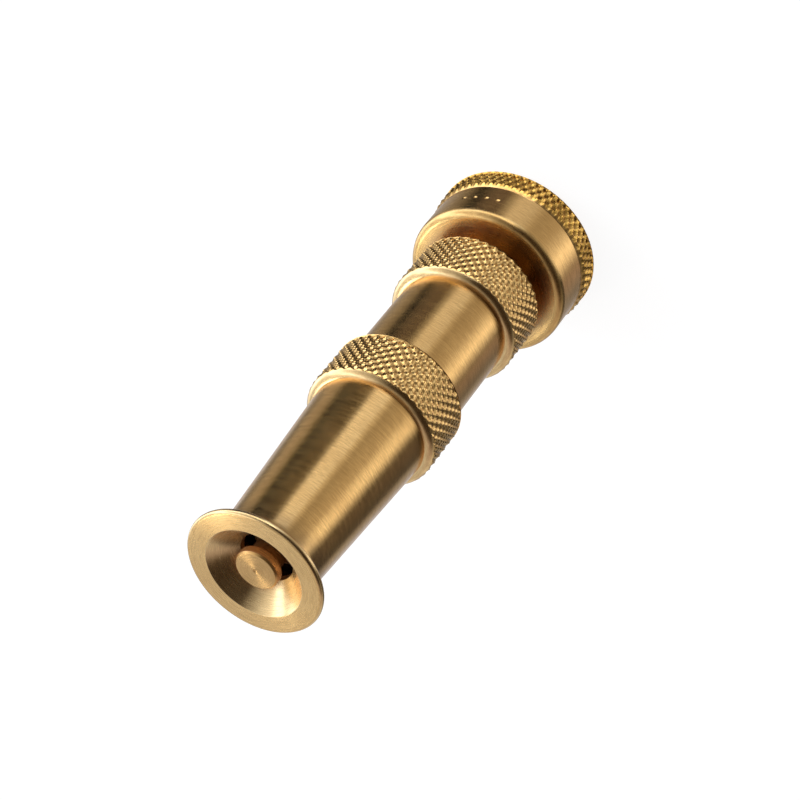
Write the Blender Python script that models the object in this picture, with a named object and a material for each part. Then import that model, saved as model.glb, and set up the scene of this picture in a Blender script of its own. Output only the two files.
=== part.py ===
"""Adjustable twist spray nozzle for a garden hose, turned from brass bar.

The nozzle stands on the rear face of its hose coupling: the origin is the centre of that face
and +Z is the way the water leaves. Every piece is turned about the Z axis, so every profile
below is a closed outline of (radius, height) points.
"""

import math

import bmesh
import bpy

MM = 0.001
EMPTY_SIZE = 5 * MM
MERGE_DISTANCE = 0.001 * MM
SMOOTH_UP_TO_DEG = 35.0

# Facets round each kind of piece.
BODY_FACETS = 40
PIN_FACETS = 24
RING_FACETS = 32
RING_SECTION_SIDES = 8

# Bar sizes and the heights that set the outside shape.
BAR_RADIUS = 12.75 * MM
BAR_EDGE = 0.80 * MM
REAR_CHAMFER = 0.40 * MM
NOZZLE_LENGTH = 100.95 * MM

# Hose coupling: 3/4-11.5 NH female swivel, its bore drawn at the thread's pitch radius.
COUPLING_KNURL_RADIUS = 16.46 * MM
COUPLING_BAND_RADIUS = 15.82 * MM
COUPLING_KNURL_TOP = 4.10 * MM
COUPLING_BAND_BOTTOM = 5.00 * MM
COUPLING_TOP = 13.90 * MM
COUPLING_EDGE = 1.00 * MM
THREAD_PITCH_RADIUS = 12.78 * MM
THREAD_MOUTH_RADIUS = 13.50 * MM
THREAD_MOUTH_DEPTH = 0.70 * MM
COUPLING_WALL_BOTTOM = 11.50 * MM
COUPLING_HOLE_RADIUS = 9.10 * MM

# Hose washer.
WASHER_INNER_RADIUS = 7.20 * MM
WASHER_OUTER_RADIUS = 12.10 * MM
WASHER_BOTTOM = 6.20 * MM
WASHER_TOP = 9.00 * MM
WASHER_EDGE = 0.40 * MM

# Stem: tail, knurled collar, smooth cylinder, guide land, thread and nose.
TAIL_BOTTOM = 9.30 * MM
TAIL_RADIUS = 8.85 * MM
TAIL_EDGE = 0.30 * MM
CLIP_GROOVE_RADIUS = 7.80 * MM
CLIP_GROOVE_BOTTOM = 10.10 * MM
CLIP_GROOVE_TOP = 11.30 * MM
COLLAR_BOTTOM = 17.30 * MM
COLLAR_TOP = 28.70 * MM
COLLAR_FILLET = 0.40 * MM
STEM_RADIUS = 10.87 * MM
STEM_CYLINDER_TOP = 53.50 * MM
STEM_CHAMFER = 0.40 * MM
GUIDE_LAND_RADIUS = 9.90 * MM
GUIDE_LAND_TOP = 63.20 * MM
STEM_THREAD_RADIUS = 8.30 * MM
STEM_THREAD_TOP = 72.20 * MM
NOSE_RADIUS = 7.05 * MM
NOSE_TOP = 81.90 * MM
SEAL_GROOVE_RADIUS = 5.70 * MM
SEAL_GROOVE_BOTTOM = 79.20 * MM
SEAL_GROOVE_TOP = 81.20 * MM
TIP_RADIUS = 5.20 * MM
TIP_TOP = 88.00 * MM
WATERWAY_RADIUS = 5.50 * MM
WATERWAY_TOP = 70.00 * MM
TIP_BORE_RADIUS = 4.00 * MM
TIP_BORE_BOTTOM = 71.50 * MM
PORT_RADIUS = 1.20 * MM
PORT_HEIGHT = 83.60 * MM
PORT_CUTTER_LENGTH = 12.00 * MM
PORT_FACETS = 12

# Split ring that holds the coupling on the tail.
CLIP_INNER_RADIUS = 7.95 * MM
CLIP_OUTER_RADIUS = 11.20 * MM
CLIP_BOTTOM = 10.25 * MM
CLIP_TOP = 11.15 * MM
CLIP_GAP_DEG = 50.0

# Rubber rings: radius to the middle of the section, height of the middle, section radius.
STEM_O_RING = (6.60 * MM, 80.20 * MM, 0.75 * MM)
SEAT_O_RING = (5.60 * MM, 90.50 * MM, 0.87 * MM)
SLEEVE_O_RING = (10.60 * MM, 58.60 * MM, 0.62 * MM)

# Spray pin.
SHANK_RADIUS = 3.80 * MM
SHANK_BOTTOM = 85.20 * MM
SHANK_CHAMFER = 0.40 * MM
FLANGE_RADIUS = 5.90 * MM
FLANGE_BOTTOM = 88.30 * MM
SEAT_GROOVE_RADIUS = 4.60 * MM
SEAT_GROOVE_BOTTOM = 89.50 * MM
SEAT_GROOVE_TOP = 91.50 * MM
PIN_LIP_RADIUS = 5.35 * MM
PIN_LIP_TOP = 91.80 * MM
PIN_NECK_RADIUS = 2.90 * MM
PIN_NECK_BOTTOM = 94.30 * MM
PIN_HEAD_BOTTOM = 98.20 * MM
PIN_HEAD_RADIUS = 4.00 * MM
PIN_FACE = 100.20 * MM
PIN_CHAMFER = 0.35 * MM
CENTRE_MARK_RADIUS = 0.45 * MM
CENTRE_MARK_DEPTH = 0.25 * MM

# Twist sleeve, outside.
GRIP_BOTTOM = 49.65 * MM
GRIP_TOP = 61.30 * MM
GRIP_FILLET = 0.70 * MM
BARREL_BOTTOM_RADIUS = 11.07 * MM
BARREL_TOP_RADIUS = 9.09 * MM
BARREL_TOP = 96.30 * MM
RIM_RADIUS = 12.70 * MM
RIM_ROUND = 0.65 * MM

# Twist sleeve, inside.
SKIRT_RADIUS = 11.20 * MM
SKIRT_TOP = 56.80 * MM
SKIRT_CHAMFER = 0.25 * MM
GUIDE_BORE_RADIUS = 10.20 * MM
WIPER_GROOVE_RADIUS = 11.30 * MM
WIPER_GROOVE_BOTTOM = 57.80 * MM
WIPER_GROOVE_TOP = 59.40 * MM
SLEEVE_THREAD_BOTTOM = 66.30 * MM
SLEEVE_THREAD_RADIUS = 8.60 * MM
CHAMBER_BOTTOM = 75.50 * MM
CHAMBER_RADIUS = 7.40 * MM
ORIFICE_RADIUS = 4.90 * MM
ORIFICE_BOTTOM = 95.30 * MM
ORIFICE_TOP = 96.50 * MM
MOUTH_RADIUS = 9.00 * MM


def clear_scene():
    for thing in list(bpy.data.objects):
        bpy.data.objects.remove(thing, do_unlink=True)


def principled(name, color, metallic, roughness):
    material = bpy.data.materials.new(name)
    material.use_nodes = True
    shader = material.node_tree.nodes["Principled BSDF"]
    shader.inputs["Base Color"].default_value = (*color, 1.0)
    shader.inputs["Metallic"].default_value = metallic
    shader.inputs["Roughness"].default_value = roughness
    return material


def arc(centre_radius, centre_height, radius, start_deg, end_deg, steps):
    """Points along an arc in the profile's plane, both ends included."""
    points = []
    for i in range(steps + 1):
        angle = math.radians(start_deg + (end_deg - start_deg) * i / steps)
        point = (centre_radius + radius * math.cos(angle), centre_height + radius * math.sin(angle))
        points.append(point)
    return points


def ring_of_edges(mesh, profile):
    """The profile as a closed loop of edges in the XZ plane."""
    verts = [mesh.verts.new((radius, 0.0, height)) for radius, height in profile]
    edges = [mesh.edges.new((verts[i - 1], verts[i])) for i in range(len(verts))]
    return verts, edges


def add_object(name, mesh, material, parent):
    """Closes the bmesh as a smooth-shaded object under its parent empty."""
    bmesh.ops.remove_doubles(mesh, verts=mesh.verts, dist=MERGE_DISTANCE)
    bmesh.ops.recalc_face_normals(mesh, faces=mesh.faces)
    data = bpy.data.meshes.new(name)
    mesh.to_mesh(data)
    mesh.free()
    data.materials.append(material)
    data.shade_smooth()
    data.set_sharp_from_angle(angle=math.radians(SMOOTH_UP_TO_DEG))
    thing = bpy.data.objects.new(name, data)
    bpy.context.scene.collection.objects.link(thing)
    thing.parent = parent
    return thing


def turned(name, profile, facets, material, parent):
    """Turns a closed profile once round the Z axis."""
    mesh = bmesh.new()
    verts, edges = ring_of_edges(mesh, profile)
    bmesh.ops.spin(mesh, geom=verts + edges, cent=(0, 0, 0), axis=(0, 0, 1),
                   angle=math.tau, steps=facets, use_merge=True)
    return add_object(name, mesh, material, parent)


def turned_on_axis(name, outline, facets, material, parent):
    """Turns an open outline that starts and ends on the Z axis, for a piece with no bore."""
    mesh = bmesh.new()
    verts = [mesh.verts.new((radius, 0.0, height)) for radius, height in outline]
    edges = [mesh.edges.new(pair) for pair in zip(verts, verts[1:])]
    bmesh.ops.spin(mesh, geom=verts + edges, cent=(0, 0, 0), axis=(0, 0, 1),
                   angle=math.tau, steps=facets, use_merge=True)
    return add_object(name, mesh, material, parent)


def rubber_ring(name, size, material, parent):
    """An O-ring: a round section turned about the Z axis."""
    middle_radius, middle_height, section_radius = size
    section = arc(middle_radius, middle_height, section_radius, 0.0, 360.0, RING_SECTION_SIDES)
    return turned(name, section[:-1], RING_FACETS, material, parent)


def joint_empty(name, parent=None):
    """An empty on the Z axis that carries the pieces of one moving group."""
    empty = bpy.data.objects.new(name, None)
    empty.empty_display_size = EMPTY_SIZE
    empty.parent = parent
    bpy.context.scene.collection.objects.link(empty)
    return empty


def hose_coupling(material, parent):
    knurl = COUPLING_KNURL_RADIUS
    band = COUPLING_BAND_RADIUS
    hole = COUPLING_HOLE_RADIUS
    profile = [
        (THREAD_MOUTH_RADIUS, 0.0),
        (knurl - REAR_CHAMFER, 0.0),
        (knurl, REAR_CHAMFER),
        (knurl, COUPLING_KNURL_TOP),
        (band, COUPLING_BAND_BOTTOM),
        *arc(band - COUPLING_EDGE, COUPLING_TOP - COUPLING_EDGE, COUPLING_EDGE, 0.0, 90.0, 4),
        (hole + TAIL_EDGE, COUPLING_TOP),
        (hole, COUPLING_TOP - TAIL_EDGE),
        (hole, COUPLING_WALL_BOTTOM),
        (THREAD_PITCH_RADIUS, COUPLING_WALL_BOTTOM),
        (THREAD_PITCH_RADIUS, THREAD_MOUTH_DEPTH),
    ]
    return turned("hose_coupling", profile, BODY_FACETS, material, parent)


def hose_washer(material, parent):
    inner = WASHER_INNER_RADIUS
    outer = WASHER_OUTER_RADIUS
    profile = [
        (inner, WASHER_BOTTOM),
        (outer - WASHER_EDGE, WASHER_BOTTOM),
        (outer, WASHER_BOTTOM + WASHER_EDGE),
        (outer, WASHER_TOP - WASHER_EDGE),
        (outer - WASHER_EDGE, WASHER_TOP),
        (inner, WASHER_TOP),
    ]
    return turned("hose_washer", profile, RING_FACETS, material, parent)


def swivel_retaining_ring(material, parent):
    """A flat split ring, turned through less than a full turn and capped at its ends."""
    mesh = bmesh.new()
    half_gap = math.radians(CLIP_GAP_DEG / 2)
    corners = [
        (CLIP_INNER_RADIUS, CLIP_BOTTOM),
        (CLIP_OUTER_RADIUS, CLIP_BOTTOM),
        (CLIP_OUTER_RADIUS, CLIP_TOP),
        (CLIP_INNER_RADIUS, CLIP_TOP),
    ]
    start = math.pi / 2 + half_gap
    verts = [mesh.verts.new((r * math.cos(start), r * math.sin(start), z)) for r, z in corners]
    face = mesh.faces.new(verts)
    bmesh.ops.spin(mesh, geom=[face], cent=(0, 0, 0), axis=(0, 0, 1),
                   angle=math.tau - 2 * half_gap, steps=RING_FACETS)
    bmesh.ops.holes_fill(mesh, edges=mesh.edges)
    return add_object("swivel_retaining_ring", mesh, material, parent)


def stem_outline():
    """The stem's closed profile: up the outside from the tail, and down the waterway."""
    bar = BAR_RADIUS
    tail = TAIL_RADIUS
    collar_edge = arc(bar - BAR_EDGE, COLLAR_TOP - BAR_EDGE, BAR_EDGE, 0.0, 90.0, 4)
    collar_fillet = arc(STEM_RADIUS + COLLAR_FILLET, COLLAR_TOP + COLLAR_FILLET, COLLAR_FILLET,
                        270.0, 180.0, 3)
    return [
        (WATERWAY_RADIUS + TAIL_EDGE, TAIL_BOTTOM),
        (tail - TAIL_EDGE, TAIL_BOTTOM),
        (tail, TAIL_BOTTOM + TAIL_EDGE),
        (tail, CLIP_GROOVE_BOTTOM),
        (CLIP_GROOVE_RADIUS, CLIP_GROOVE_BOTTOM),
        (CLIP_GROOVE_RADIUS, CLIP_GROOVE_TOP),
        (tail, CLIP_GROOVE_TOP),
        (tail, COLLAR_BOTTOM),
        (bar - REAR_CHAMFER, COLLAR_BOTTOM),
        (bar, COLLAR_BOTTOM + REAR_CHAMFER),
        *collar_edge,
        *collar_fillet,
        (STEM_RADIUS, STEM_CYLINDER_TOP - STEM_CHAMFER),
        (STEM_RADIUS - STEM_CHAMFER, STEM_CYLINDER_TOP),
        (GUIDE_LAND_RADIUS, STEM_CYLINDER_TOP),
        (GUIDE_LAND_RADIUS, GUIDE_LAND_TOP),
        (STEM_THREAD_RADIUS, GUIDE_LAND_TOP),
        (STEM_THREAD_RADIUS, STEM_THREAD_TOP - STEM_CHAMFER),
        (STEM_THREAD_RADIUS - STEM_CHAMFER, STEM_THREAD_TOP),
        (NOSE_RADIUS, STEM_THREAD_TOP),
        (NOSE_RADIUS, SEAL_GROOVE_BOTTOM),
        (SEAL_GROOVE_RADIUS, SEAL_GROOVE_BOTTOM),
        (SEAL_GROOVE_RADIUS, SEAL_GROOVE_TOP),
        (NOSE_RADIUS, SEAL_GROOVE_TOP),
        (NOSE_RADIUS, NOSE_TOP),
        (TIP_RADIUS, NOSE_TOP),
        (TIP_RADIUS, TIP_TOP),
        (TIP_BORE_RADIUS, TIP_TOP),
        (TIP_BORE_RADIUS, TIP_BORE_BOTTOM),
        (WATERWAY_RADIUS, WATERWAY_TOP),
        (WATERWAY_RADIUS, TAIL_BOTTOM + TAIL_EDGE),
    ]


def port_cutter(name, turn_deg, parent):
    """A hidden rod across the stem's tip that opens two water ports."""
    mesh = bmesh.new()
    bmesh.ops.create_cone(mesh, cap_ends=True, segments=PORT_FACETS, radius1=PORT_RADIUS,
                          radius2=PORT_RADIUS, depth=PORT_CUTTER_LENGTH)
    data = bpy.data.meshes.new(name)
    mesh.to_mesh(data)
    mesh.free()
    cutter = bpy.data.objects.new(name, data)
    cutter.rotation_euler = (math.pi / 2, 0.0, math.radians(turn_deg))
    cutter.location = (0.0, 0.0, PORT_HEIGHT)
    cutter.hide_render = True
    cutter.display_type = "WIRE"
    bpy.context.scene.collection.objects.link(cutter)
    cutter.parent = parent
    return cutter


def stem_body(material, parent):
    stem = turned("stem_body", stem_outline(), BODY_FACETS, material, parent)
    for number, turn_deg in enumerate((0.0, 90.0), start=1):
        cutter = port_cutter(f"port_cutter_{number}", turn_deg, stem)
        cut = stem.modifiers.new(f"ports_{number}", "BOOLEAN")
        cut.operation = "DIFFERENCE"
        cut.solver = "EXACT"
        cut.object = cutter
    return stem


def spray_pin(material, parent):
    """The pin that the water strikes, screwed into the stem's tip by its shank."""
    outline = [
        (0.0, SHANK_BOTTOM),
        (SHANK_RADIUS - SHANK_CHAMFER, SHANK_BOTTOM),
        (SHANK_RADIUS, SHANK_BOTTOM + SHANK_CHAMFER),
        (SHANK_RADIUS, FLANGE_BOTTOM),
        (FLANGE_RADIUS, FLANGE_BOTTOM),
        (FLANGE_RADIUS, SEAT_GROOVE_BOTTOM),
        (SEAT_GROOVE_RADIUS, SEAT_GROOVE_BOTTOM),
        (SEAT_GROOVE_RADIUS, SEAT_GROOVE_TOP),
        (PIN_LIP_RADIUS, SEAT_GROOVE_TOP),
        (PIN_LIP_RADIUS, PIN_LIP_TOP),
        (PIN_NECK_RADIUS, PIN_NECK_BOTTOM),
        (PIN_NECK_RADIUS, PIN_HEAD_BOTTOM),
        (PIN_HEAD_RADIUS - PIN_CHAMFER, PIN_HEAD_BOTTOM),
        (PIN_HEAD_RADIUS, PIN_HEAD_BOTTOM + PIN_CHAMFER),
        (PIN_HEAD_RADIUS, PIN_FACE - PIN_CHAMFER),
        (PIN_HEAD_RADIUS - PIN_CHAMFER, PIN_FACE),
        (CENTRE_MARK_RADIUS, PIN_FACE),
        (0.0, PIN_FACE - CENTRE_MARK_DEPTH),
    ]
    return turned_on_axis("spray_pin", outline, PIN_FACETS, material, parent)


def sleeve_outside():
    """The sleeve's outer line from the grip's rear edge to the mouth."""
    bar = BAR_RADIUS
    grip_edge = arc(bar - BAR_EDGE, GRIP_TOP - BAR_EDGE, BAR_EDGE, 0.0, 90.0, 4)
    grip_fillet = arc(BARREL_BOTTOM_RADIUS + GRIP_FILLET, GRIP_TOP + GRIP_FILLET, GRIP_FILLET,
                      270.0, 180.0, 3)
    rim_centre = RIM_RADIUS - RIM_ROUND
    flare = NOZZLE_LENGTH - 2 * RIM_ROUND - BARREL_TOP
    flare_centre = BARREL_TOP_RADIUS + flare
    flare_end_deg = math.degrees(math.acos((rim_centre - flare_centre) / flare))
    rim_start_deg = -80.0
    return [
        (bar - REAR_CHAMFER, GRIP_BOTTOM),
        (bar, GRIP_BOTTOM + REAR_CHAMFER),
        *grip_edge,
        *grip_fillet,
        *arc(flare_centre, BARREL_TOP, flare, 180.0, flare_end_deg, 6),
        *arc(rim_centre, NOZZLE_LENGTH - RIM_ROUND, RIM_ROUND, rim_start_deg, 90.0, 6),
    ]


def sleeve_inside():
    """The sleeve's bore from the mouth back to the skirt."""
    seat_height = ORIFICE_BOTTOM - (CHAMBER_RADIUS - ORIFICE_RADIUS)
    return [
        (MOUTH_RADIUS, NOZZLE_LENGTH),
        (ORIFICE_RADIUS, ORIFICE_TOP),
        (ORIFICE_RADIUS, ORIFICE_BOTTOM),
        (CHAMBER_RADIUS, seat_height),
        (CHAMBER_RADIUS, CHAMBER_BOTTOM),
        (SLEEVE_THREAD_RADIUS, CHAMBER_BOTTOM),
        (SLEEVE_THREAD_RADIUS, SLEEVE_THREAD_BOTTOM),
        (GUIDE_BORE_RADIUS, SLEEVE_THREAD_BOTTOM),
        (GUIDE_BORE_RADIUS, WIPER_GROOVE_TOP),
        (WIPER_GROOVE_RADIUS, WIPER_GROOVE_TOP),
        (WIPER_GROOVE_RADIUS, WIPER_GROOVE_BOTTOM),
        (GUIDE_BORE_RADIUS, WIPER_GROOVE_BOTTOM),
        (GUIDE_BORE_RADIUS, SKIRT_TOP),
        (SKIRT_RADIUS, SKIRT_TOP),
        (SKIRT_RADIUS, GRIP_BOTTOM + SKIRT_CHAMFER),
        (SKIRT_RADIUS + SKIRT_CHAMFER, GRIP_BOTTOM),
    ]


def twist_sleeve(material, parent):
    profile = sleeve_outside() + sleeve_inside()
    return turned("twist_sleeve", profile, BODY_FACETS, material, parent)


def build():
    clear_scene()
    brass = principled("satin_brass", (0.72, 0.50, 0.24), 1.0, 0.30)
    pin_brass = principled("pin_brass", (0.74, 0.53, 0.27), 1.0, 0.28)
    spring_steel = principled("spring_steel", (0.55, 0.55, 0.56), 1.0, 0.35)
    black_rubber = principled("black_rubber", (0.02, 0.02, 0.02), 0.0, 0.65)
    root = joint_empty("coupling_axis")
    stem_axis = joint_empty("stem_swivel_axis", root)
    slide_axis = joint_empty("sleeve_advance_axis", stem_axis)
    twist_axis = joint_empty("sleeve_twist_axis", slide_axis)
    hose_coupling(brass, root)
    hose_washer(black_rubber, root)
    swivel_retaining_ring(spring_steel, stem_axis)
    stem_body(brass, stem_axis)
    rubber_ring("stem_o_ring", STEM_O_RING, black_rubber, stem_axis)
    spray_pin(pin_brass, stem_axis)
    rubber_ring("seat_o_ring", SEAT_O_RING, black_rubber, stem_axis)
    rubber_ring("sleeve_o_ring", SLEEVE_O_RING, black_rubber, slide_axis)
    twist_sleeve(brass, twist_axis)


build()
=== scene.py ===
"""Looks for the adjustable brass hose nozzle: every CAD node is replaced by a fine turned mesh
with real knurls, threads and edges, lit like a product shot on a plain pale floor."""

import math

import bpy
import numpy as np
from mathutils import Matrix, Vector


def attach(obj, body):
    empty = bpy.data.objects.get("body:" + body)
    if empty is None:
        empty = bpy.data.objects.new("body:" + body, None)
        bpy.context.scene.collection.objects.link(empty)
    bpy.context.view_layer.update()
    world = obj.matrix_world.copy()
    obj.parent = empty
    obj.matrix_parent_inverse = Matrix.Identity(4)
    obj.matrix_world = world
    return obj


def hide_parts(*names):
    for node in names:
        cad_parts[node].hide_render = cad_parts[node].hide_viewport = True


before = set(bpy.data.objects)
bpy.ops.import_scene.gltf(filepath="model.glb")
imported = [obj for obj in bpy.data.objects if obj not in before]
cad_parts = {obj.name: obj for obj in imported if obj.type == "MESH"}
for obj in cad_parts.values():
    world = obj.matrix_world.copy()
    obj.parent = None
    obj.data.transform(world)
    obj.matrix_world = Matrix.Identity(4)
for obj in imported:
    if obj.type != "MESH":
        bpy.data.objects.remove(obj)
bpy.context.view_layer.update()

MM = 0.001
SMOOTH_UP_TO = math.radians(30.0)
SAMPLES_PER_PITCH = 8  # rows and columns for each knurl diamond, rows for each thread
TOLERANCE = 0.02 * MM  # how near counts as on a surface, or as on a row

# rounded edges
SUPPORT_GAP = 0.05 * MM  # from a rounded edge to the row that keeps the flat beside it flat
STRAIGHT_TURN = 0.02  # a corner that turns by less than this, in radians, stays a point
ROUNDING_SHARE = 0.48  # of a side's length, the most that the rounding at one of its ends takes
SUPPORT_SHARE = 0.49  # of a side's length, the most that the rounding and its gap take
TINY_EDGE = 0.15  # in mm, up to which a rounding gets fewer rows
FINE_STEP, COARSE_STEP = 14, 24  # degrees of turn for each row of a rounding, and of a tiny one

# cuts
KNURL_FADE = 0.2 * MM
THREAD_FLAT = 0.15  # of the pitch, the flat at each crest and each root
UNCUT_UP_TO = 1e-6  # in mm, the cut below which a face stays a quad

ROUND_COLUMNS = 128  # round a ring that nothing is cut into
PIN_COLUMNS = 192


# ---------------------------------------------------------------- turned meshes


def trace(corners, closed=True):
    """The outline through corners of (radius, height, edge radius) in mm, with each edge rounded.

    Returns an (n, 2) array of radius and height in metres."""
    count = len(corners)
    points = []
    for i, (r, z, edge) in enumerate(corners):
        here = np.array([r, z]) * MM
        inner = closed or 0 < i < count - 1
        if not inner or edge <= 0:
            points.append(here)
            continue
        before = np.array(corners[i - 1][:2]) * MM - here
        after = np.array(corners[(i + 1) % count][:2]) * MM - here
        length_before, length_after = np.linalg.norm(before), np.linalg.norm(after)
        before, after = before / length_before, after / length_after
        turn = math.pi - math.acos(max(-1.0, min(1.0, float(before @ after))))
        if turn < STRAIGHT_TURN:
            points.append(here)
            continue
        longest = (ROUNDING_SHARE * length_before, ROUNDING_SHARE * length_after)
        reach = min(edge * MM * math.tan(turn / 2), *longest)
        radius = reach / math.tan(turn / 2)
        bisector = before + after
        bisector /= np.linalg.norm(bisector)
        centre = here + bisector * math.hypot(reach, radius)
        start = here + before * reach
        step = math.radians(FINE_STEP if edge > TINY_EDGE else COARSE_STEP)
        steps = max(2, math.ceil(turn / step))
        begin = math.atan2(*(start - centre)[::-1])
        sweep = turn if np.cross(before, after) < 0 else -turn
        if reach + SUPPORT_GAP < SUPPORT_SHARE * length_before:
            points.append(here + before * (reach + SUPPORT_GAP))
        for k in range(steps + 1):
            angle = begin + sweep * k / steps
            points.append(centre + radius * np.array([math.cos(angle), math.sin(angle)]))
        if reach + SUPPORT_GAP < SUPPORT_SHARE * length_after:
            points.append(here + after * (reach + SUPPORT_GAP))
    return np.array(points)


def arc(centre_r, centre_z, radius, start_deg, end_deg, steps):
    """Corners in mm along an arc, both ends included."""
    angles = [math.radians(start_deg + (end_deg - start_deg) * i / steps) for i in range(steps + 1)]
    return [(centre_r + radius * math.cos(a), centre_z + radius * math.sin(a), 0) for a in angles]


def divide(outline, heights, picks):
    """Adds a row at each of these heights on the closed outline's sides that picks(r, z) holds."""
    rows = []
    for i, here in enumerate(outline):
        rows.append(here)
        there = outline[(i + 1) % len(outline)]
        if abs(there[1] - here[1]) < TOLERANCE or not picks(*((here + there) / 2)):
            continue
        low, high = sorted((here[1], there[1]))
        inner = [z for z in heights if low + TOLERANCE < z < high - TOLERANCE]
        for z in inner if there[1] > here[1] else inner[::-1]:
            share = (z - here[1]) / (there[1] - here[1])
            rows.append(here + (there - here) * share)
    return np.array(rows)


def triangle_wave(v):
    """0 at whole numbers, 1 halfway between them."""
    return 1 - np.abs(2 * (v % 1.0) - 1)


class Knurl:
    """Two crossed sets of pressed grooves: a pit where two grooves cross, a saddle between pits.

    Sizes are in mm. low and high are its ends, and middle is the height of a row of pits."""

    def __init__(self, radius, count, pitch, depth, low, high, middle):
        self.radius, self.count, self.pitch = radius * MM, count, pitch * MM
        self.depth, self.low, self.high = depth * MM, low * MM, high * MM
        self.middle = middle * MM

    def columns(self):
        return self.count * SAMPLES_PER_PITCH

    def heights(self):
        """Rows that meet every crest and pit."""
        step = self.pitch / SAMPLES_PER_PITCH
        first = math.ceil((self.low - self.middle) / step)
        last = math.floor((self.high - self.middle) / step)
        return [self.middle + step * k for k in range(first, last + 1)]

    def picks(self, r, z):
        return self.low <= z <= self.high and r > self.radius - self.depth

    def raised(self, theta, z):
        """0 in the pits to 1 on the crests."""
        turn = self.count * theta / math.tau
        rise = (z - self.middle) / self.pitch
        nudge = 1e-9  # keeps the rows that lie on a pit on one side of it
        return (triangle_wave(turn + rise + nudge) + triangle_wave(turn - rise + nudge)) / 2

    def cut(self, r, theta, z):
        """The radius after knurling, where the turned outline isn't already lower."""
        ends = np.clip(np.minimum(z - self.low, self.high - z) / KNURL_FADE, 0.0, 1.0)
        knurled = self.radius - self.depth * (1 - self.raised(theta, z)) * ends
        inside = (z >= self.low) & (z <= self.high)
        return np.where(inside & (r > self.radius - self.depth), np.minimum(r, knurled), r)


class Thread:
    """A right-hand thread between an inner and an outer radius, over a plain part of the outline.

    Sizes are in mm. It fades in over a short height at each end."""

    def __init__(self, plain, inner, outer, pitch, low, high, fade_low, fade_high):
        self.plain, self.inner, self.outer = plain * MM, inner * MM, outer * MM
        self.pitch, self.low, self.high = pitch * MM, low * MM, high * MM
        self.fade_low, self.fade_high = fade_low * MM, fade_high * MM

    def heights(self):
        step = self.pitch / SAMPLES_PER_PITCH
        count = math.floor((self.high - self.low) / step)
        return [self.low + step * k for k in range(1, count + 1)]

    def picks(self, r, z):
        return self.low <= z <= self.high and abs(r - self.plain) < TOLERANCE

    def cut(self, r, theta, z):
        wave = triangle_wave(z / self.pitch - theta / math.tau)
        shape = np.clip((wave - THREAD_FLAT) / (1 - 2 * THREAD_FLAT), 0.0, 1.0)
        threaded = self.inner + (self.outer - self.inner) * shape
        from_low, from_high = (z - self.low) / self.fade_low, (self.high - z) / self.fade_high
        ends = np.clip(np.minimum(from_low, from_high), 0.0, 1.0)
        on = (z >= self.low) & (z <= self.high) & (np.abs(r - self.plain) < TOLERANCE)
        return np.where(on, self.plain + (threaded - self.plain) * ends, r)


class Punch:
    """A row of round dimples in a smooth band, in mm, at azimuths in degrees."""

    def __init__(self, surface, height, size, depth, azimuths):
        self.surface, self.height = surface * MM, height * MM
        self.size, self.depth, self.azimuths = size * MM, depth * MM, azimuths

    def cut(self, r, theta, z):
        for azimuth in self.azimuths:
            turn = (theta - math.radians(azimuth) + math.pi) % math.tau - math.pi
            away = np.hypot(self.surface * turn, z - self.height) / self.size
            near = (away < 1) & (np.abs(r - self.surface) < TOLERANCE / 2)
            r = np.where(near, r - self.depth * (1 - away**2), r)
        return r


def grid_faces(rows, columns, closed):
    """Quads of a turned grid, as an (n, 4) array of vertex numbers."""
    row = np.arange(rows if closed else rows - 1)
    column = np.arange(columns)
    here, there = np.meshgrid(row, column, indexing="ij")
    above = (here + 1) % rows
    beside = (there + 1) % columns
    corners = [(here, there), (here, beside), (above, beside), (above, there)]
    return np.stack([r * columns + c for r, c in corners], axis=-1).reshape(-1, 4)


def split_quads(quads, heights):
    """Triangles from cut quads, each split along the diagonal that lies nearer the true surface."""
    first = np.abs(heights[:, 0] - heights[:, 2]) <= np.abs(heights[:, 1] - heights[:, 3])
    return np.where(
        first[:, None, None],
        np.stack([quads[:, [0, 1, 2]], quads[:, [0, 2, 3]]], axis=1),
        np.stack([quads[:, [0, 1, 3]], quads[:, [1, 2, 3]]], axis=1),
    ).reshape(-1, 3)


def new_mesh(name, verts, faces):
    mesh = bpy.data.meshes.new(name)
    mesh.from_pydata(verts, [], faces)
    return mesh


def turned_mesh(name, outline, columns, cuts=(), closed=True):
    """A closed mesh from an outline turned about Z. An open outline ends on the axis at both ends.

    Its "recess" attribute says how deep each vertex is cut, in mm."""
    body = outline if closed else outline[1:-1]
    theta = np.arange(columns) * math.tau / columns
    plain = np.repeat(body[:, :1], columns, axis=1)
    z = np.repeat(body[:, 1:], columns, axis=1)
    angle = np.repeat(theta[None, :], len(body), axis=0)
    r = plain
    for one in cuts:
        r = one.cut(r, angle, z)
    recess = ((plain - r) / MM).reshape(-1)
    verts = np.stack([r * np.cos(angle), r * np.sin(angle), z], axis=-1).reshape(-1, 3)
    quads = grid_faces(len(body), columns, closed)
    bent = np.ptp(recess[quads], axis=1) > UNCUT_UP_TO
    split = split_quads(quads[bent], recess[quads[bent]])
    faces = [tuple(f) for f in quads[~bent].tolist()] + [tuple(f) for f in split.tolist()]
    verts, recess = verts.tolist(), recess.tolist()
    if not closed:
        bottom, top = len(verts), len(verts) + 1
        verts += [(0.0, 0.0, outline[0][1]), (0.0, 0.0, outline[-1][1])]
        recess += [0.0, 0.0]
        last = (len(body) - 1) * columns
        for k in range(columns):
            after = (k + 1) % columns
            faces.append((bottom, after, k))
            faces.append((top, last + k, last + after))
    mesh = new_mesh(name, verts, faces)
    mesh.attributes.new("recess", "FLOAT", "POINT").data.foreach_set("value", recess)
    return mesh


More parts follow.
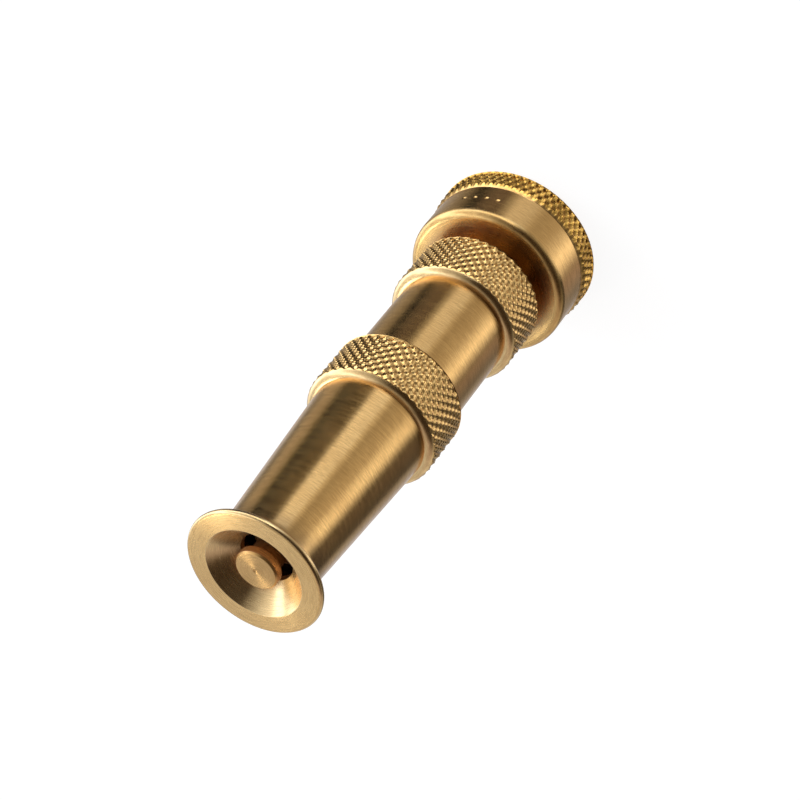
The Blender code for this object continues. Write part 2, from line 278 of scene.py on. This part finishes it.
def volume_of(mesh):
    mesh.calc_loop_triangles()
    points = np.array([v.co for v in mesh.vertices])
    a, b, c = points[np.array([t.vertices for t in mesh.loop_triangles])].transpose(1, 0, 2)
    return float(np.einsum("ij,ij->i", a, np.cross(b, c)).sum() / 6)


def link(name, data):
    thing = bpy.data.objects.new(name, data)
    bpy.context.scene.collection.objects.link(thing)
    return thing


def drill_along_x(radius, start, end, sides=32):
    """A closed cylinder along X, in metres."""
    verts = [
        (x, radius * math.cos(a), radius * math.sin(a))
        for x in (start, end) for a in np.arange(sides) * math.tau / sides
    ]
    faces = [(k, (k + 1) % sides, sides + (k + 1) % sides, sides + k) for k in range(sides)]
    faces += [tuple(range(sides))[::-1], tuple(range(sides, 2 * sides))]
    mesh = new_mesh("drill", verts, faces)
    if volume_of(mesh) < 0:
        mesh.flip_normals()
    return link("drill", mesh)


def drilled(mesh, radius, height, azimuths, reach):
    """The mesh with round holes drilled from half of reach to reach, in mm and degrees."""
    piece = link("drilled", mesh)
    drills = []
    for azimuth in azimuths:
        drill = drill_along_x(radius * MM, 0.5 * reach * MM, reach * MM)
        turn = Matrix.Rotation(math.radians(azimuth), 4, "Z")
        drill.matrix_world = Matrix.Translation((0, 0, height * MM)) @ turn
        cut = piece.modifiers.new("drill", "BOOLEAN")
        cut.operation, cut.object, cut.solver = "DIFFERENCE", drill, "EXACT"
        drills.append(drill)
    bpy.context.view_layer.update()
    evaluated = piece.evaluated_get(bpy.context.evaluated_depsgraph_get())
    result = bpy.data.meshes.new_from_object(evaluated)
    for thing in [piece, *drills]:
        bpy.data.meshes.remove(thing.data)
    return result


ANY = 1000.0  # in mm, past the end of every piece


def within(radii, heights):
    """A test for points with a radius and a height between these, in mm."""
    def test(r, z):
        in_radii = (r > radii[0] * MM) & (r < radii[1] * MM)
        return in_radii & (z > heights[0] * MM) & (z < heights[1] * MM)
    return test


def add_piece(name, mesh, materials, body, node, zones=()):
    """Shows this mesh in place of a CAD node, riding on the node's body.

    A face gets the material of the last zone (material, test) that holds its centre, or else
    the first of the materials."""
    if volume_of(mesh) < 0:
        mesh.flip_normals()
    mesh.shade_smooth()
    mesh.set_sharp_from_angle(angle=SMOOTH_UP_TO)
    for material in materials:
        mesh.materials.append(material)
    if zones:
        centres = np.empty(len(mesh.polygons) * 3)
        mesh.polygons.foreach_get("center", centres)
        x, y, z = centres.reshape(-1, 3).T
        index = np.zeros(len(z), dtype=np.int32)
        for material, test in zones:
            index[test(np.hypot(x, y), z)] = materials.index(material)
        mesh.polygons.foreach_set("material_index", index)
    piece = link(name, mesh)
    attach(piece, body)
    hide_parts(node)


# ---------------------------------------------------------------- materials


class Nodes:
    """Short calls for building a node tree."""

    def __init__(self, tree):
        self.tree = tree

    def set(self, socket, value):
        """Links a socket to another, or gives it a value."""
        if isinstance(value, bpy.types.NodeSocket):
            self.tree.links.new(value, socket)
        else:
            socket.default_value = value

    def add(self, kind, inputs=None, **settings):
        node = self.tree.nodes.new(kind)
        for key, value in settings.items():
            setattr(node, key, value)
        for key, value in (inputs or {}).items():
            self.set(node.inputs[key], value)
        return node

    def maths(self, operation, *values):
        return self.add("ShaderNodeMath", dict(enumerate(values)), operation=operation).outputs[0]

    def remap(self, value, low, high, to_low=0.0, to_high=1.0):
        limits = {"From Min": low, "From Max": high, "To Min": to_low, "To Max": to_high}
        return self.add("ShaderNodeMapRange", {"Value": value, **limits}).outputs[0]

    def mix(self, share, first, second):
        colors = {0: share, 6: first, 7: second}
        return self.add("ShaderNodeMix", colors, data_type="RGBA").outputs[2]

    def place(self):
        return self.add("ShaderNodeTexCoord").outputs["Object"]

    def split(self, vector):
        return self.add("ShaderNodeSeparateXYZ", {0: vector}).outputs

    def radius(self, x, y):
        squares = [self.maths("MULTIPLY", v, v) for v in (x, y)]
        return self.maths("SQRT", self.maths("ADD", *squares))

    def noise(self, vector, scale, detail, roughness):
        inputs = {"Vector": vector, "Scale": scale, "Detail": detail, "Roughness": roughness}
        return self.add("ShaderNodeTexNoise", inputs).outputs[0]

    def bump(self, height, strength, distance):
        inputs = {"Height": height, "Strength": strength, "Distance": distance}
        return self.add("ShaderNodeBump", inputs).outputs[0]


def new_material(name):
    """A material, its nodes and its shader's sockets."""
    material = bpy.data.materials.new(name)
    material.use_nodes = True
    nodes = Nodes(material.node_tree)
    return material, nodes, material.node_tree.nodes["Principled BSDF"].inputs


def tinted(color, by):
    """A colour times a factor for each channel, with an alpha of 1."""
    return (*(min(1.0, c * f) for c, f in zip(color, by)), 1.0)


def turned_coordinates(nodes, around, across):
    """Texture space in which a lathe's cutting lines run: long round the axis, fine across it."""
    x, y, z = nodes.split(nodes.place())
    line = nodes.maths("MULTIPLY", nodes.maths("ADD", z, nodes.radius(x, y)), across)
    around_x, around_y = (nodes.maths("MULTIPLY", v, around) for v in (x, y))
    return nodes.add("ShaderNodeCombineXYZ", {0: around_x, 1: around_y, 2: line}).outputs[0]


BRASS = (0.86, 0.535, 0.20)
DARKENED_BRASS = (0.42, 0.27, 0.125, 1.0)
BRIGHT_LINE, DULL_LINE, STAINED = (1.10, 1.10, 1.10), (0.80, 0.77, 0.74), (0.78, 0.70, 0.62)
WORN_CREST, BRIGHT_CREST = (0.86, 0.84, 0.80), (1.06, 1.06, 1.08)
# the colour of the knurls' pits: dirt with painted shade
PIT_DIRT_AND_SHADE = (0.16, 0.07, 0.012, 1.0)
FINE_LINES, COARSE_LINES = (520, 5200), (240, 2300)  # how close, round the axis and across it
LINE_DEPTH = 0.004 * MM
GRAIN_DEPTH = 0.02 * MM


def turned_brass(name, rough, anisotropic, color=BRASS, lines=1.0, darkening=None, metallic=1.0):
    """Brass as a lathe leaves it, then wiped: fine lines round the axis, with soft stains.

    darkening is (measure, clean, dull, most): by "radius" or "height" in mm, it darkens the brass
    from clean to dull. On the coupling's face it is painted shade beside the collar."""
    material, nodes, shader = new_material(name)
    fine = nodes.noise(turned_coordinates(nodes, *FINE_LINES), 1.0, detail=3.0, roughness=0.62)
    coarse = nodes.noise(turned_coordinates(nodes, *COARSE_LINES), 1.0, detail=2.0, roughness=0.55)
    place = nodes.place()
    stain = nodes.noise(place, 160.0, detail=3.0, roughness=0.6)
    tone = nodes.remap(fine, 0.30, 0.70)
    base = nodes.mix(tone, tinted(color, DULL_LINE), tinted(color, BRIGHT_LINE))
    base = nodes.mix(nodes.remap(stain, 0.35, 0.75, 0.0, 0.35), base, tinted(color, STAINED))
    # a darkening by radius or height; on the coupling's face it is painted shade
    if darkening:
        measure, clean, dull, most = darkening
        x, y, z = nodes.split(place)
        along = nodes.radius(x, y) if measure == "radius" else z
        share = nodes.remap(along, clean * MM, dull * MM, 0.0, most)
        if measure == "height":
            share = nodes.maths("MULTIPLY", share, nodes.remap(stain, 0.38, 0.58, 0.45, 1.0))
        base = nodes.mix(share, base, DARKENED_BRASS)
    nodes.set(shader["Base Color"], base)
    spread = nodes.remap(coarse, 0.3, 0.7, rough - 0.03, rough + 0.03)
    spread = nodes.maths("ADD", spread, nodes.remap(stain, 0.3, 0.8, 0.0, 0.03))
    nodes.set(shader["Roughness"], spread)
    nodes.set(shader["Metallic"], metallic)
    nodes.set(shader["Anisotropic"], anisotropic)
    nodes.set(shader["Anisotropic Rotation"], 0.25)
    tangent = nodes.add("ShaderNodeTangent", direction_type="RADIAL", axis="Z")
    nodes.set(shader["Tangent"], tangent.outputs[0])
    halves = [nodes.maths("MULTIPLY", v, 0.5) for v in (fine, coarse)]
    bump = nodes.bump(nodes.maths("ADD", *halves), 1.0, LINE_DEPTH * lines)
    nodes.set(shader["Normal"], bump)
    return material


def knurled_brass(name, color, rough):
    """Brass pressed between knurling wheels: worn crests, pits darkened by dirt and painted shade.
    """
    material, nodes, shader = new_material(name)
    recess = nodes.add("ShaderNodeAttribute", attribute_name="recess").outputs["Fac"]
    place = nodes.place()
    grain = nodes.noise(place, 2600.0, detail=2.0, roughness=0.6)
    patch = nodes.noise(place, 240.0, detail=2.0, roughness=0.5)
    # dirt and painted shade in the pits: the deeper the pit, the darker
    depth = nodes.remap(recess, 0.22, 0.43)
    dirt_and_shade = nodes.maths("MULTIPLY", depth, nodes.remap(patch, 0.3, 0.7, 0.60, 1.0))
    wear = nodes.remap(grain, 0.3, 0.7)
    crest = nodes.mix(wear, tinted(color, WORN_CREST), tinted(color, BRIGHT_CREST))
    nodes.set(shader["Base Color"], nodes.mix(dirt_and_shade, crest, PIT_DIRT_AND_SHADE))
    spread = nodes.remap(grain, 0.3, 0.7, rough - 0.05, rough + 0.07)
    spread = nodes.maths("ADD", spread, nodes.maths("MULTIPLY", dirt_and_shade, 0.22))
    nodes.set(shader["Roughness"], spread)
    nodes.set(shader["Metallic"], 1.0)
    nodes.set(shader["Normal"], nodes.bump(grain, 0.5, GRAIN_DEPTH))
    return material


def black_rubber(name):
    """Moulded nitrile rubber with a faint bloom."""
    material, nodes, shader = new_material(name)
    place = nodes.place()
    grain = nodes.noise(place, 1800.0, detail=3.0, roughness=0.6)
    bloom = nodes.noise(place, 220.0, detail=2.0, roughness=0.5)
    share = nodes.remap(bloom, 0.35, 0.75, 0.0, 0.8)
    base = nodes.mix(share, (0.012, 0.012, 0.012, 1.0), (0.045, 0.043, 0.040, 1.0))
    nodes.set(shader["Base Color"], base)
    nodes.set(shader["Roughness"], nodes.remap(grain, 0.3, 0.7, 0.50, 0.72))
    nodes.set(shader["Normal"], nodes.bump(grain, 0.6, GRAIN_DEPTH))
    return material


def spring_steel(name):
    """Blued spring steel with rolling marks."""
    material, nodes, shader = new_material(name)
    grain = nodes.noise(nodes.place(), 900.0, detail=4.0, roughness=0.7)
    tone = nodes.remap(grain, 0.3, 0.7)
    base = nodes.mix(tone, (0.30, 0.30, 0.31, 1.0), (0.52, 0.51, 0.50, 1.0))
    nodes.set(shader["Base Color"], base)
    nodes.set(shader["Roughness"], nodes.remap(grain, 0.3, 0.7, 0.24, 0.42))
    nodes.set(shader["Metallic"], 1.0)
    return material


barrel_brass = turned_brass("turned_brass", rough=0.22, anisotropic=0.83)
face_brass = turned_brass(
    "faced_brass", rough=0.26, anisotropic=0.70, color=(0.85, 0.545, 0.22), lines=0.3,
)
bore_brass = turned_brass(
    "bored_brass", rough=0.24, anisotropic=0.78, color=(0.90, 0.66, 0.34),
)
grip_brass = knurled_brass("knurled_brass", color=(0.96, 0.61, 0.23), rough=0.21)
ring_brass = knurled_brass("bright_knurled_brass", color=(0.95, 0.56, 0.13), rough=0.22)
pin_brass = turned_brass(
    "pin_brass", rough=0.26, anisotropic=0.88, color=(0.72, 0.43, 0.16), lines=0.2,
)
lip_brass = turned_brass(
    "lip_brass", rough=0.22, anisotropic=0.74, color=(0.88, 0.63, 0.31), lines=0.5,
)
# painted shade: the coupling's face darkens towards the collar
shoulder_brass = turned_brass(
    "shoulder_brass", rough=0.24, anisotropic=0.88, color=(0.76, 0.49, 0.19), lines=0.2,
    darkening=("radius", 13.9, 12.4, 1.0),
)
# the barrel darkens in patches towards the flare below the mouth
flare_brass = turned_brass(
    "flared_brass", rough=0.22, anisotropic=0.83, darkening=("height", 92.0, 97.2, 0.80),
)
# the pin's neck and the orifice lie deep in the mouth: darker colours as painted shade, part matt
neck_brass = turned_brass(
    "pin_neck_brass", rough=0.24, anisotropic=0.78, color=(0.56, 0.27, 0.10), metallic=0.55,
)
orifice_brass = turned_brass(
    "orifice_brass", rough=0.30, anisotropic=0.5, color=(0.66, 0.34, 0.13), metallic=0.45,
)
rubber = black_rubber("black_rubber")
steel = spring_steel("spring_steel")


# ---------------------------------------------------------------- pieces

EDGE = 0.12  # the small rounding on edges that the lathe leaves crisp, in mm

# hose coupling
ring_knurl = Knurl(
    radius=16.46, count=63, pitch=2.667, depth=0.56, low=0.35, high=4.45, middle=2.0,
)
hose_thread = Thread(
    plain=12.78, inner=12.20, outer=13.49, pitch=2.209, low=0.75, high=10.6,
    fade_low=0.9, fade_high=0.9,
)
punch_marks = Punch(
    surface=15.82, height=8.8, size=0.42, depth=0.20, azimuths=(-35.3, -44.0, -52.8, -61.5),
)
PUNCH_ROWS = np.arange(8.2, 9.4, 0.12) * MM  # close enough together to show the dimples


def coupling_mesh():
    outline = trace([
        (13.50, 0.0, 0.2), (16.06, 0.0, 0.1), (16.46, 0.40, 0.1), (16.46, 4.10, 0.1),
        (15.82, 5.00, 0.2), (15.82, 13.90, 1.5), (9.40, 13.90, 0.1), (9.10, 13.60, 0.1),
        (9.10, 11.50, EDGE), (12.78, 11.50, 0.3), (12.78, 0.70, 0), (13.50, 0.70, EDGE),
    ])
    outline = divide(outline, ring_knurl.heights(), ring_knurl.picks)
    outline = divide(outline, hose_thread.heights(), hose_thread.picks)
    outline = divide(outline, list(PUNCH_ROWS), within((15.7, ANY), (0.0, ANY)))
    cuts = (ring_knurl, hose_thread, punch_marks)
    return turned_mesh("hose_coupling_fine", outline, ring_knurl.columns(), cuts)


add_piece(
    "hose_coupling_fine", coupling_mesh(), [barrel_brass, shoulder_brass, ring_brass, bore_brass],
    "coupling", "hose_coupling",
    [
        (shoulder_brass, within((9.2, ANY), (12.45, ANY))),
        (ring_brass, within((15.9, ANY), (0.35, 4.45))),
        (bore_brass, within((0.0, 13.55), (-ANY, 13.85))),
    ],
)

# hose washer
washer_outline = trace([
    (7.20, 6.20, 0.3), (12.10, 6.20, 0.4), (12.10, 9.00, 0.4), (7.20, 9.00, 0.3),
])
add_piece(
    "hose_washer_fine", turned_mesh("hose_washer_fine", washer_outline, ROUND_COLUMNS), [rubber],
    "coupling", "hose_washer",
)


# stem
collar_knurl = Knurl(
    radius=12.75, count=41, pitch=1.97, depth=0.45, low=17.5, high=27.8, middle=22.8,
)
stem_thread = Thread(
    plain=8.30, inner=7.65, outer=8.50, pitch=2.0, low=63.5, high=71.81,
    fade_low=0.8, fade_high=0.005,
)


def stem_mesh():
    outline = trace([
        (5.80, 9.30, 0.1), (8.55, 9.30, 0.1), (8.85, 9.60, 0.1), (8.85, 10.10, 0.06),
        (7.80, 10.10, 0.1), (7.80, 11.30, 0.1), (8.85, 11.30, 0.06), (8.85, 17.30, 0.2),
        (12.35, 17.30, 0.1), (12.75, 17.70, 0.1),
        *arc(10.90, 26.85, 1.85, 0.0, 84.0, 16),
        (10.87, 28.70, 0), (10.87, 53.10, 0.1), (10.47, 53.50, 0.1), (9.90, 53.50, 0.2),
        (9.90, 63.20, 0.2), (8.30, 63.20, 0.1), (8.30, 71.80, 0), (7.60, 72.15, 0.05),
        (7.05, 72.20, 0.15), (7.05, 79.20, 0.06), (5.70, 79.20, 0.15), (5.70, 81.20, 0.15),
        (7.05, 81.20, 0.06), (7.05, 81.90, EDGE), (5.20, 81.90, 0.15), (5.20, 88.00, EDGE),
        (4.00, 88.00, 0.1), (4.00, 71.50, 0.1), (5.50, 70.00, 0.1), (5.50, 9.60, 0.1),
    ])
    outline = divide(outline, collar_knurl.heights(), collar_knurl.picks)
    outline = divide(outline, stem_thread.heights(), stem_thread.picks)
    beside_ports = [82.2 * MM, 85.0 * MM]
    outline = divide(outline, beside_ports, within((3.9, 5.3), (0.0, ANY)))
    cuts = (collar_knurl, stem_thread)
    mesh = turned_mesh("stem_body_fine", outline, collar_knurl.columns(), cuts)
    return drilled(mesh, radius=1.20, height=83.6, azimuths=(0, 90, 180, 270), reach=6.0)


add_piece(
    "stem_body_fine", stem_mesh(), [barrel_brass, grip_brass, lip_brass],
    "stem", "stem_body",
    [
        (grip_brass, within((12.2, ANY), (17.55, 27.70))),
        (lip_brass, within((10.9, ANY), (27.70, 29.70))),
    ],
)

# spray pin
pin_outline = trace([
    (0.0, 85.20, 0), (3.40, 85.20, 0.1), (3.80, 85.60, 0.1), (3.80, 88.30, 0.1),
    (5.90, 88.30, EDGE), (5.90, 89.50, EDGE), (4.60, 89.50, 0.1), (4.60, 91.50, 0.1),
    (5.35, 91.50, 0.1), (5.35, 91.80, 0.1), (2.90, 94.30, 0.5), (2.90, 98.20, 0.2),
    (3.65, 98.20, 0.1), (4.00, 98.55, 0.15), (4.00, 99.85, 0.12), (3.65, 100.20, 0.15),
    (0.45, 100.20, 0.08), (0.0, 99.95, 0),
], closed=False)
add_piece(
    "spray_pin_fine", turned_mesh("spray_pin_fine", pin_outline, PIN_COLUMNS, closed=False),
    [pin_brass, neck_brass],
    "stem", "spray_pin",
    [(neck_brass, within((0.0, ANY), (0.0, 99.95)))],
)

# twist sleeve
grip_knurl = Knurl(
    radius=12.75, count=41, pitch=1.97, depth=0.45, low=49.9, high=60.5, middle=55.4,
)
sleeve_thread = Thread(
    plain=8.60, inner=7.85, outer=8.70, pitch=2.0, low=66.5, high=75.3,
    fade_low=0.8, fade_high=0.8,
)


def sleeve_mesh():
    outline = trace([
        (12.35, 49.65, 0.1), (12.75, 50.05, 0.1),
        *arc(10.95, 59.50, 1.80, 0.0, 84.0, 16), (11.07, 61.30, 0),
        *arc(12.44, 96.30, 3.35, 180.0, 97.0, 22),
        *arc(12.05, 100.30, 0.65, -80.0, 90.0, 14),
        (9.00, 100.95, 0.10), (4.90, 96.50, 0.10), (4.90, 95.30, 0.10), (7.40, 92.80, 0.1),
        (7.40, 75.50, 0.1), (8.60, 75.50, 0.1), (8.60, 66.30, 0.1), (10.20, 66.30, 0.1),
        (10.20, 59.40, 0.06), (11.30, 59.40, 0.15), (11.30, 57.80, 0.15), (10.20, 57.80, 0.06),
        (10.20, 56.80, 0.1), (11.20, 56.80, 0.1), (11.20, 49.90, 0.1), (11.45, 49.65, 0.1),
    ])
    outline = divide(outline, grip_knurl.heights(), grip_knurl.picks)
    outline = divide(outline, sleeve_thread.heights(), sleeve_thread.picks)
    cuts = (grip_knurl, sleeve_thread)
    return turned_mesh("twist_sleeve_fine", outline, grip_knurl.columns(), cuts)


def in_bore(r, z):
    """Inside a surface that runs through the middle of the sleeve's wall."""
    heights = np.array([49.0, 62.0, 96.3, 96.5, 100.95]) * MM
    radii = np.array([11.6, 10.6, 8.0, 6.0, 9.05]) * MM
    return r < np.interp(z, heights, radii)


def in_orifice(r, z):
    return in_bore(r, z) & (z > 90.0 * MM) & (z < 96.45 * MM)


add_piece(
    "twist_sleeve_fine", sleeve_mesh(),
    [flare_brass, grip_brass, face_brass, bore_brass, lip_brass, orifice_brass],
    "sleeve", "twist_sleeve",
    [
        (grip_brass, within((12.2, ANY), (49.95, 60.45))),
        (face_brass, within((8.95, ANY), (100.9, ANY))),
        (lip_brass, within((11.1, ANY), (60.45, 62.0))),
        (lip_brass, within((12.2, ANY), (99.8, 100.9))),
        (bore_brass, in_bore),
        (orifice_brass, in_orifice),
    ],
)


# rubber rings and the retaining ring
def o_ring(name, radius, height, section, body, node):
    outline = np.array([[r, z] for r, z, _ in arc(radius, height, section, 0.0, 345.0, 23)]) * MM
    mesh = turned_mesh(name, outline, ROUND_COLUMNS)
    add_piece(name, mesh, [rubber], body, node)


o_ring("stem_o_ring_fine", 6.60, 80.20, 0.75, "stem", "stem_o_ring")
o_ring("seat_o_ring_fine", 5.60, 90.50, 0.87, "stem", "seat_o_ring")
o_ring("sleeve_o_ring_fine", 10.60, 58.60, 0.62, "sleeve_carrier", "sleeve_o_ring")


def retaining_ring_mesh(steps=120, half_gap=math.radians(25.0)):
    """A flat split ring with rounded edges and open ends, each end capped."""
    section = trace([
        (7.95, 10.25, 0.15), (11.20, 10.25, 0.15), (11.20, 11.15, 0.15), (7.95, 11.15, 0.15),
    ])
    sweep = (math.tau - 2 * half_gap) * np.arange(steps + 1) / steps
    verts, faces = [], []
    for angle in math.pi / 2 + half_gap + sweep:
        verts += [(r * math.cos(angle), r * math.sin(angle), z) for r, z in section]
    size = len(section)
    for i in range(steps):
        here, there = i * size, (i + 1) * size
        for k in range(size):
            after = (k + 1) % size
            faces.append((here + k, here + after, there + after, there + k))
    faces.append(tuple(range(size))[::-1])
    faces.append(tuple(range(steps * size, (steps + 1) * size)))
    return new_mesh("swivel_retaining_ring_fine", verts, faces)


add_piece(
    "swivel_retaining_ring_fine", retaining_ring_mesh(), [steel],
    "stem", "swivel_retaining_ring",
)


# ---------------------------------------------------------------- studio

WHITE = (1.0, 1.0, 1.0)
FLOOR = 2.4  # half of the floor's side, and the backdrop's radius, in metres
WALL_STEPS = 64


def stage_mesh(name, verts, faces, material):
    thing = link(name, new_mesh(name, verts, faces))
    thing.data.materials.append(material)
    thing.visible_glossy = False
    return thing


def glowing(name, glow, diffuse):
    """White that gives its own light, and scatters a share of what falls on it."""
    material = bpy.data.materials.new(name)
    material.use_nodes = True
    nodes = Nodes(material.node_tree)
    nodes.tree.nodes.remove(nodes.tree.nodes["Principled BSDF"])
    light = nodes.add("ShaderNodeEmission", {"Color": (*WHITE, 1.0), "Strength": glow})
    matt = nodes.add("ShaderNodeBsdfDiffuse", {"Color": (diffuse, diffuse, diffuse, 1.0)})
    both = nodes.add("ShaderNodeAddShader", {0: light.outputs[0], 1: matt.outputs[0]})
    nodes.set(nodes.tree.nodes["Material Output"].inputs["Surface"], both.outputs[0])
    return material


def add_floor():
    corners = [(-FLOOR, -FLOOR, 0), (FLOOR, -FLOOR, 0), (FLOOR, FLOOR, 0), (-FLOOR, FLOOR, 0)]
    stage_mesh("floor", corners, [(0, 1, 2, 3)], glowing("floor_white", 0.90, 0.25))


def add_backdrop():
    """A closed drum round the floor, which only the camera sees."""
    angles = [math.tau * k / WALL_STEPS for k in range(WALL_STEPS)]
    verts = [(FLOOR * math.cos(a), FLOOR * math.sin(a), z) for z in (-FLOOR, FLOOR) for a in angles]
    faces = []
    for k in range(WALL_STEPS):
        after = (k + 1) % WALL_STEPS
        faces.append((k, after, WALL_STEPS + after, WALL_STEPS + k))
    faces += [tuple(range(WALL_STEPS, 2 * WALL_STEPS)), tuple(range(WALL_STEPS))]
    wall = stage_mesh("backdrop", verts, faces, glowing("backdrop_white", 0.97, 0.0))
    wall.visible_diffuse = False
    wall.visible_shadow = False
    wall.visible_transmission = False


PLAIN, WARM, COOL = WHITE, (1.0, 0.95, 0.88), (1.0, 1.08, 1.25)
DUSK, EMBER = (1.0, 0.85, 0.85), (1.0, 0.68, 0.42)

# Light by the turn from the viewer's side towards +X: degrees, strength, tint.
GROUND = [
    (-180, 1.00, COOL), (-162, 0.55, COOL), (-148, 0.30, PLAIN), (-130, 0.33, PLAIN),
    (-98, 0.62, DUSK), (-88, 0.50, WARM), (-81, 1.20, PLAIN), (-64, 1.80, PLAIN),
    (-54, 0.88, PLAIN), (-44, 0.64, PLAIN), (-30, 0.48, WARM), (-4, 0.42, WARM),
    (10, 0.48, PLAIN), (30, 0.56, PLAIN), (46, 0.52, PLAIN), (52, 0.16, DUSK),
    (64, 0.20, DUSK), (82, 0.14, DUSK), (87, 0.0, WARM), (101, 0.0, WARM), (108, 0.05, WARM),
    (122, 0.11, WARM), (142, 0.40, PLAIN), (158, 0.42, COOL), (180, 0.70, COOL),
]
LOW = [
    (-180, 0.95, COOL), (-160, 0.70, COOL), (-148, 0.42, COOL), (-132, 0.42, PLAIN),
    (-120, 0.06, WARM), (-84, 0.05, WARM), (-74, 0.05, WARM), (-65, 0.60, PLAIN),
    (-57, 1.05, PLAIN), (-46, 1.05, PLAIN), (-34, 0.62, WARM), (-6, 0.42, WARM),
    (2, 0.75, PLAIN), (8, 1.02, COOL), (30, 0.97, COOL), (38, 0.05, WARM), (46, 0.0, WARM),
    (86, 0.0, WARM), (100, 0.34, WARM), (118, 0.36, WARM), (134, 0.12, PLAIN),
    (142, 0.25, PLAIN), (152, 0.62, COOL), (180, 0.62, COOL),
]
LEVEL = [
    (-180, 0.20, WARM), (-165, 0.80, PLAIN), (-120, 0.72, WARM), (-92, 0.30, WARM),
    (-72, 0.12, WARM), (0, 0.20, WARM), (10, 0.60, PLAIN), (18, 2.50, PLAIN),
    (50, 2.50, PLAIN), (62, 2.50, COOL), (138, 2.50, COOL), (156, 0.90, PLAIN),
    (170, 0.40, WARM), (180, 0.20, WARM),
]
HIGH = [
    (-180, 0.68, COOL), (-150, 0.60, PLAIN), (-116, 0.50, DUSK), (-96, 0.08, EMBER),
    (-86, 0.04, EMBER), (20, 0.04, EMBER), (34, 0.24, WARM), (56, 0.50, PLAIN),
    (74, 0.85, PLAIN), (90, 1.10, PLAIN), (98, 2.20, COOL), (112, 2.20, COOL),
    (120, 1.05, PLAIN), (144, 0.90, PLAIN), (154, 0.70, COOL), (180, 0.68, COOL),
]
UNDERNEATH, OVERHEAD = (0.30, 0.26, 0.23, 1.0), (0.40, 0.38, 0.36, 1.0)

# a small lamp over the far shoulder, which draws the streaks across turned faces
LAMP_AIM = Vector((0.24, 0.68, 0.69)).normalized()
LAMP_EDGE, LAMP_CORE = math.radians(7.5), math.radians(5.0)
LAMP_LIGHT = (5.4, 5.4, 5.2, 1.0)


def studio_world():
    """Soft boxes and dark flags as bands of light by direction, for the metal to reflect."""
    world = bpy.data.worlds.new("studio")
    bpy.context.scene.world = world
    world.use_nodes = True
    nodes = Nodes(world.node_tree)
    direction = nodes.add("ShaderNodeTexCoord").outputs["Generated"]
    x, y, z = nodes.split(direction)
    turn = nodes.maths("ARCTAN2", x, nodes.maths("MULTIPLY", y, -1.0))
    share = nodes.remap(turn, -math.pi, math.pi)

    def bands(stops):
        node = nodes.add("ShaderNodeValToRGB", {0: share})
        elements = node.color_ramp.elements
        elements.remove(elements[-1])
        for k, (degrees, strength, tint) in enumerate(stops):
            place = (degrees + 180) / 360
            element = elements[0] if k == 0 else elements.new(place)
            element.position = place
            element.color = (*(strength * t for t in tint), 1.0)
        return node.outputs[0]

    # each layer takes over from the one below it between these heights of the direction
    layers = [
        (-0.98, -0.91, bands(GROUND)), (-0.73, -0.66, bands(LOW)), (-0.30, -0.12, bands(LEVEL)),
        (0.10, 0.26, bands(HIGH)), (0.90, 0.98, OVERHEAD),
    ]
    light = UNDERNEATH
    for start, end, layer in layers:
        light = nodes.mix(nodes.remap(z, start, end), light, layer)
    product = nodes.add(
        "ShaderNodeVectorMath", {0: direction, 1: LAMP_AIM}, operation="DOT_PRODUCT",
    ).outputs["Value"]
    glow = nodes.remap(product, math.cos(LAMP_EDGE), math.cos(LAMP_CORE))
    light = nodes.mix(glow, light, LAMP_LIGHT)
    nodes.set(nodes.tree.nodes["Background"].inputs["Color"], light)


ELEVATION = math.radians(42.709)
ROLL_COS, ROLL_SIN = -0.7837, -0.6213
MOUTH = Vector((0.0, 0.0, 0.1003))
ACROSS, UP, DISTANCE = 0.02349, 0.02783, 0.36415  # from the mouth to the camera, in its own axes
LENS, SENSOR = 101.05, 36.0


def add_camera():
    """Above and in front of the mouth, rolled so that the nozzle lies across the frame."""
    right = Vector((1.0, 0.0, 0.0))
    up = Vector((0.0, math.sin(ELEVATION), math.cos(ELEVATION)))
    back = Vector((0.0, -math.cos(ELEVATION), math.sin(ELEVATION)))
    cam_x = ROLL_COS * right + ROLL_SIN * up
    cam_y = -ROLL_SIN * right + ROLL_COS * up
    place = MOUTH + ACROSS * cam_x + UP * cam_y + DISTANCE * back
    data = bpy.data.cameras.new("camera")
    data.lens, data.sensor_width = LENS, SENSOR
    data.clip_start, data.clip_end = 0.01, 20.0
    camera = link("camera", data)
    turn = Matrix((cam_x, cam_y, back)).transposed().to_4x4()
    camera.matrix_world = Matrix.Translation(place) @ turn
    bpy.context.scene.camera = camera


add_floor()
add_backdrop()
studio_world()
add_camera()
bpy.context.scene.view_settings.view_transform = "Standard"
